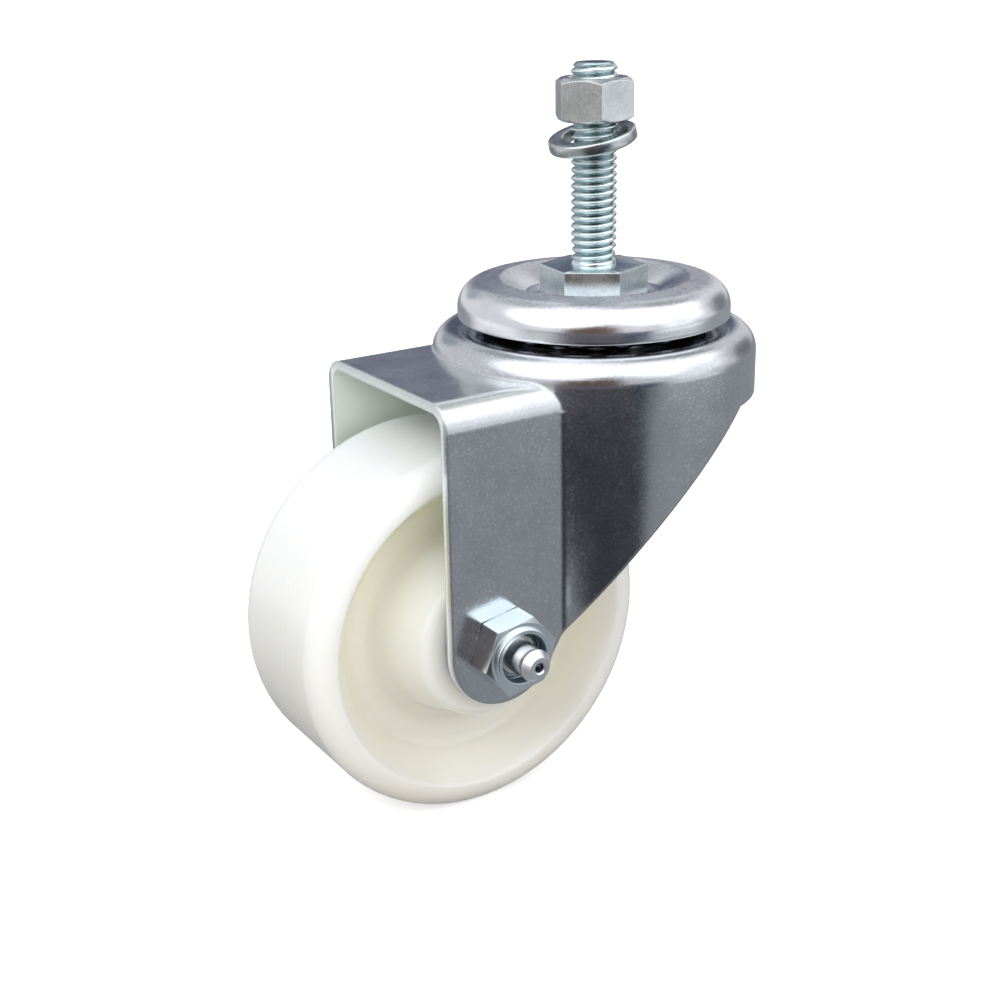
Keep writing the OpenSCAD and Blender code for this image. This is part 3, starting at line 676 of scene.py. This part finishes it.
# Grease fitting's spring
def make_spring():
    """A coil along the axle, the grease fitting's spring."""
    steps = SPRING_TURNS * SPRING_STEPS_A_TURN
    rise = SPRING_END - SPRING_START - 2 * SPRING_WIRE_R
    wire = [2 * math.pi * k / SPRING_WIRE_STEPS for k in range(SPRING_WIRE_STEPS)]
    rows = []
    for i in range(steps + 1):
        a = 2 * math.pi * SPRING_TURNS * i / steps
        z = SPRING_START + SPRING_WIRE_R + rise * i / steps
        rows.append([turned(SPRING_COIL_R + SPRING_WIRE_R * math.cos(b), a,
                            z + SPRING_WIRE_R * math.sin(b)) for b in wire])
    bm = bmesh.new()
    bar_into(bm, rows)
    obj = finish_mesh(bm, "spring_detail", GROUND_STEEL, sharp_angle=50, place=ON_AXLE)
    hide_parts("grease_spring")
    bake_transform(obj)


make_stem()
make_washer()
make_cap()
make_wheel()
make_spring()

# Materials of the solids that are shown as they are
LOOKS = {
    "fork": SHEET_ZINC,
    "stem_nut": NUT_ZINC,
    "axle_nut": AXLE_NUT_ZINC,
    "axle_bolt": NUT_ZINC,
    "nut_insert": INSERT_PLASTIC,
    "grease_fitting": FITTING_ZINC,
    "check_ball": SHADED_BALL_STEEL,
    "upper_balls": BALL_STEEL,
    "lower_balls": BALL_STEEL,
    "lower_race": RACE_STEEL,
    "bearing_sleeve": GROUND_STEEL,
    "bearing_bush": GROUND_STEEL,
    "roller_cage": RACE_STEEL,
    "rollers": GROUND_STEEL,
    "thrust_washer_near": RACE_STEEL,
    "thrust_washer_far": RACE_STEEL,
}
for node, material in LOOKS.items():
    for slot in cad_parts[node].material_slots:
        slot.material = material

# Floor: white to the camera, grey where it lights the part, and a table of zones to reflections.
# Azimuths are in degrees from +X. The camera is at about -126, and the picture's right at -33.
FLOOR_SIZE = 6
FLOOR_WHITE, FLOOR_GLOW, FLOOR_GREY = (0.93, 0.93, 0.93, 1), 0.5, (0.52, 0.50, 0.47, 1)
TABLE_TONE = (0.31, 0.33, 0.35)
TABLE_CENTRE = (-0.020, -0.072, 0)
# Each zone: azimuth, half angles where it is full and where it ends, distances in metres where it
# starts and is full and, if it has an outer edge, where it fades and is gone, and tone
ZONES = (
    (-105, 70, 90, (0.30, 0.38), (0.61, 0.64, 0.66)),              # paler on the camera's side
    (-165, 12, 24, (0.60, 0.90), (0.34, 0.32, 0.28)),              # dull far off to the left
    (140, 14, 36, (0.30, 0.38), (0.97, 0.98, 1.00)),               # white on the left
    (-45, 16, 28, (0.40, 0.46, 0.85, 1.05), (1.05, 1.09, 1.11)),   # bright on the right
    (-128, 26, 40, (0.26, 0.32), (0.150, 0.140, 0.158)),           # dark under the camera
    (-88, 8, 16, (0.28, 0.33, 1.30, 1.80), (0.035, 0.06, 0.11)),   # dark strip to its right
    (-126, 34, 46, (-1, 0, 0.28, 0.33), (0.047, 0.050, 0.058)),    # dark close to the part
)


def plain_floor(tree):
    """The floor as it is seen and as it lights the part."""
    white = tree.nodes.new("ShaderNodeBsdfDiffuse")
    white.inputs["Color"].default_value = FLOOR_WHITE
    glow = tree.nodes.new("ShaderNodeEmission")
    glow.inputs["Strength"].default_value = FLOOR_GLOW
    clean = tree.nodes.new("ShaderNodeAddShader")
    tree.links.new(white.outputs[0], clean.inputs[0])
    tree.links.new(glow.outputs[0], clean.inputs[1])
    grey = tree.nodes.new("ShaderNodeBsdfDiffuse")
    grey.inputs["Color"].default_value = FLOOR_GREY
    return mix_shaders(tree, "Is Camera Ray", grey.outputs[0], clean.outputs[0])


def facing(tree, direction, target, none, full, ease="LINEAR"):
    """1 where a direction is within the angle full of the target, 0 where it is past none."""
    dot = vector_calc(tree, "DOT_PRODUCT", direction, target)
    return remap(tree, dot, math.cos(math.radians(none)), math.cos(math.radians(full)), 0, 1, ease)


def table_tone(tree):
    """The tone that the metal mirrors where it looks down."""
    off_centre = vector_calc(tree, "SUBTRACT", coords(tree), TABLE_CENTRE)
    flat = vector_calc(tree, "MULTIPLY", off_centre, (1, 1, 0))
    direction, distance = vector_calc(tree, "NORMALIZE", flat), vector_calc(tree, "LENGTH", flat)
    tone = TABLE_TONE
    for azimuth, full, none, reach, zone_tone in ZONES:
        inside = calc(tree, "MULTIPLY", facing(tree, direction, toward(azimuth), none, full),
                      remap(tree, distance, reach[0], reach[1], 0, 1))
        if len(reach) == 4:
            inside = calc(tree, "MULTIPLY", inside, remap(tree, distance, reach[2], reach[3], 1, 0))
        tone = blend(tree, inside, tone, zone_tone)
    return tone


def make_floor():
    """A wide plane that the wheel stands on."""
    material = bpy.data.materials.new("floor")
    tree, out = new_tree(material, "ShaderNodeOutputMaterial")
    mirrored = tree.nodes.new("ShaderNodeEmission")
    tree.links.new(table_tone(tree), mirrored.inputs["Color"])
    surface = mix_shaders(tree, "Is Glossy Ray", plain_floor(tree), mirrored.outputs[0])
    tree.links.new(surface, out.inputs["Surface"])
    bpy.ops.mesh.primitive_plane_add(size=FLOOR_SIZE, location=(0, 0, FLOOR_Z * MM))
    floor = bpy.context.object
    floor.name = "floor"
    floor.data.materials.append(material)


# World: white to the camera, soft light that is stronger from above, and a studio to reflections
WORLD_LIGHT, LIGHT_BELOW, LIGHT_ABOVE = (0.965, 0.985, 1.0, 1), 0.52, 1.10
WORLD_WHITE = (1, 1, 1, 1)
SKY_TONE = (0.74, 0.75, 0.78)
# Each soft round patch: azimuth, elevation, half angles where it is full and where it ends, tone
PATCHES = (
    (59, 17, 9, 21, (0.090, 0.108, 0.165)),     # dark wall behind
    (86, 20, 5, 13, (0.32, 0.37, 0.43)),        # its paler end
    (78, 55, 10, 22, (0.40, 0.44, 0.46)),       # dark ceiling behind
    (50, 43, 8, 17, (1.00, 1.03, 1.08)),        # lighter strip over the wall
    (8, 8, 8, 22, (0.20, 0.21, 0.23)),          # dark side behind on the right
    (-128, 9, 17, 27, (0.140, 0.095, 0.075)),   # warm dark round the camera
    (-165, 54, 30, 44, (1.75, 1.82, 1.86)),     # softbox, upper left
    (-64, 50, 24, 38, (1.72, 1.84, 1.90)),      # softbox, upper right in front
    (-36, 24, 10, 22, (1.30, 1.32, 1.35)),      # window to the right
    (-52, 8, 9, 20, (1.12, 1.16, 1.19)),        # and its lower end
    (-20, 52, 14, 26, (1.70, 1.70, 1.72)),      # lamp over the right side
    (60, 75, 8, 17, (1.40, 1.42, 1.50)),        # lamp nearly overhead
    (28, 56, 11, 22, (0.36, 0.39, 0.41)),       # dark ceiling behind on the right
)


def background(tree, colour):
    node = tree.nodes.new("ShaderNodeBackground")
    feed(tree, node.inputs["Color"], colour)
    return node


def make_world():
    world = bpy.data.worlds.new("studio")
    bpy.context.scene.world = world
    tree, out = new_tree(world, "ShaderNodeOutputWorld")
    direction = coords(tree, "Generated")
    sky = SKY_TONE
    for azimuth, elevation, full, none, tone in PATCHES:
        target = toward(azimuth, elevation)
        sky = blend(tree, facing(tree, direction, target, none, full, "SMOOTHSTEP"), sky, tone)
    lit = background(tree, WORLD_LIGHT)
    height = split(tree, direction)[2]
    tree.links.new(remap(tree, height, 0, 1, LIGHT_BELOW, LIGHT_ABOVE), lit.inputs["Strength"])
    mirror, seen = background(tree, sky), background(tree, WORLD_WHITE)
    surface = mix_shaders(tree, "Is Glossy Ray", lit.outputs[0], mirror.outputs[0])
    surface = mix_shaders(tree, "Is Camera Ray", surface, seen.outputs[0])
    tree.links.new(surface, out.inputs["Surface"])


# Lamps, which reflections don't show: name, place, target, size, power and tone
LAMPS = (
    ("key", (-0.62, -0.30, 0.55), (-0.02, 0, -0.03), (0.45, 0.45), 2.6, (0.97, 0.99, 1.0)),
    ("front", (0.20, -0.70, 0.35), (-0.01, 0, -0.02), (0.40, 0.30), 1.2, (1, 1, 1)),
    ("low_left", (-0.28, -0.60, 0.06), (-0.04, 0, -0.07), (0.35, 0.25), 0.6, (1.0, 0.98, 0.93)),
)


def make_lamp(name, place, target, size, power, tone):
    data = bpy.data.lights.new(name, "AREA")
    data.shape = "RECTANGLE"
    data.size, data.size_y = size
    data.energy = power
    data.color = tone
    obj = bpy.data.objects.new(name, data)
    bpy.context.scene.collection.objects.link(obj)
    obj.location = place
    aim = Vector(target) - Vector(place)
    obj.rotation_euler = aim.to_track_quat("-Z", "Y").to_euler()
    obj.visible_glossy = False


make_floor()
make_world()
for lamp in LAMPS:
    make_lamp(*lamp)

# Camera: where it stands in metres, its angles in degrees and its focal length in pixels
CAMERA_AT = (-0.185759, -0.251038, 0.063039)
CAMERA_YAW, CAMERA_DOWN, CAMERA_ROLL = 57.148, 20.09, -0.978
FOCAL_PIXELS, PICTURE_PIXELS, SENSOR_WIDTH = 1543.156, 1000, 36
CLIP_START, CLIP_END = 0.01, 20


def make_camera():
    """The camera, at the photograph's viewing angle."""
    ahead = Vector(toward(CAMERA_YAW, -CAMERA_DOWN))
    level = Vector(toward(CAMERA_YAW - 90))
    above = level.cross(ahead)
    roll = math.radians(CAMERA_ROLL)
    right = level * math.cos(roll) + above * math.sin(roll)
    up = above * math.cos(roll) - level * math.sin(roll)
    data = bpy.data.cameras.new("camera")
    data.sensor_fit = "HORIZONTAL"
    data.sensor_width = SENSOR_WIDTH
    data.lens = FOCAL_PIXELS * SENSOR_WIDTH / PICTURE_PIXELS
    data.clip_start = CLIP_START
    data.clip_end = CLIP_END
    camera = bpy.data.objects.new("camera", data)
    bpy.context.scene.collection.objects.link(camera)
    attitude = Matrix((right, up, -ahead)).transposed().to_4x4()
    camera.matrix_world = Matrix.Translation(CAMERA_AT) @ attitude
    bpy.context.scene.camera = camera


make_camera()
bpy.context.scene.view_settings.view_transform = "Standard"
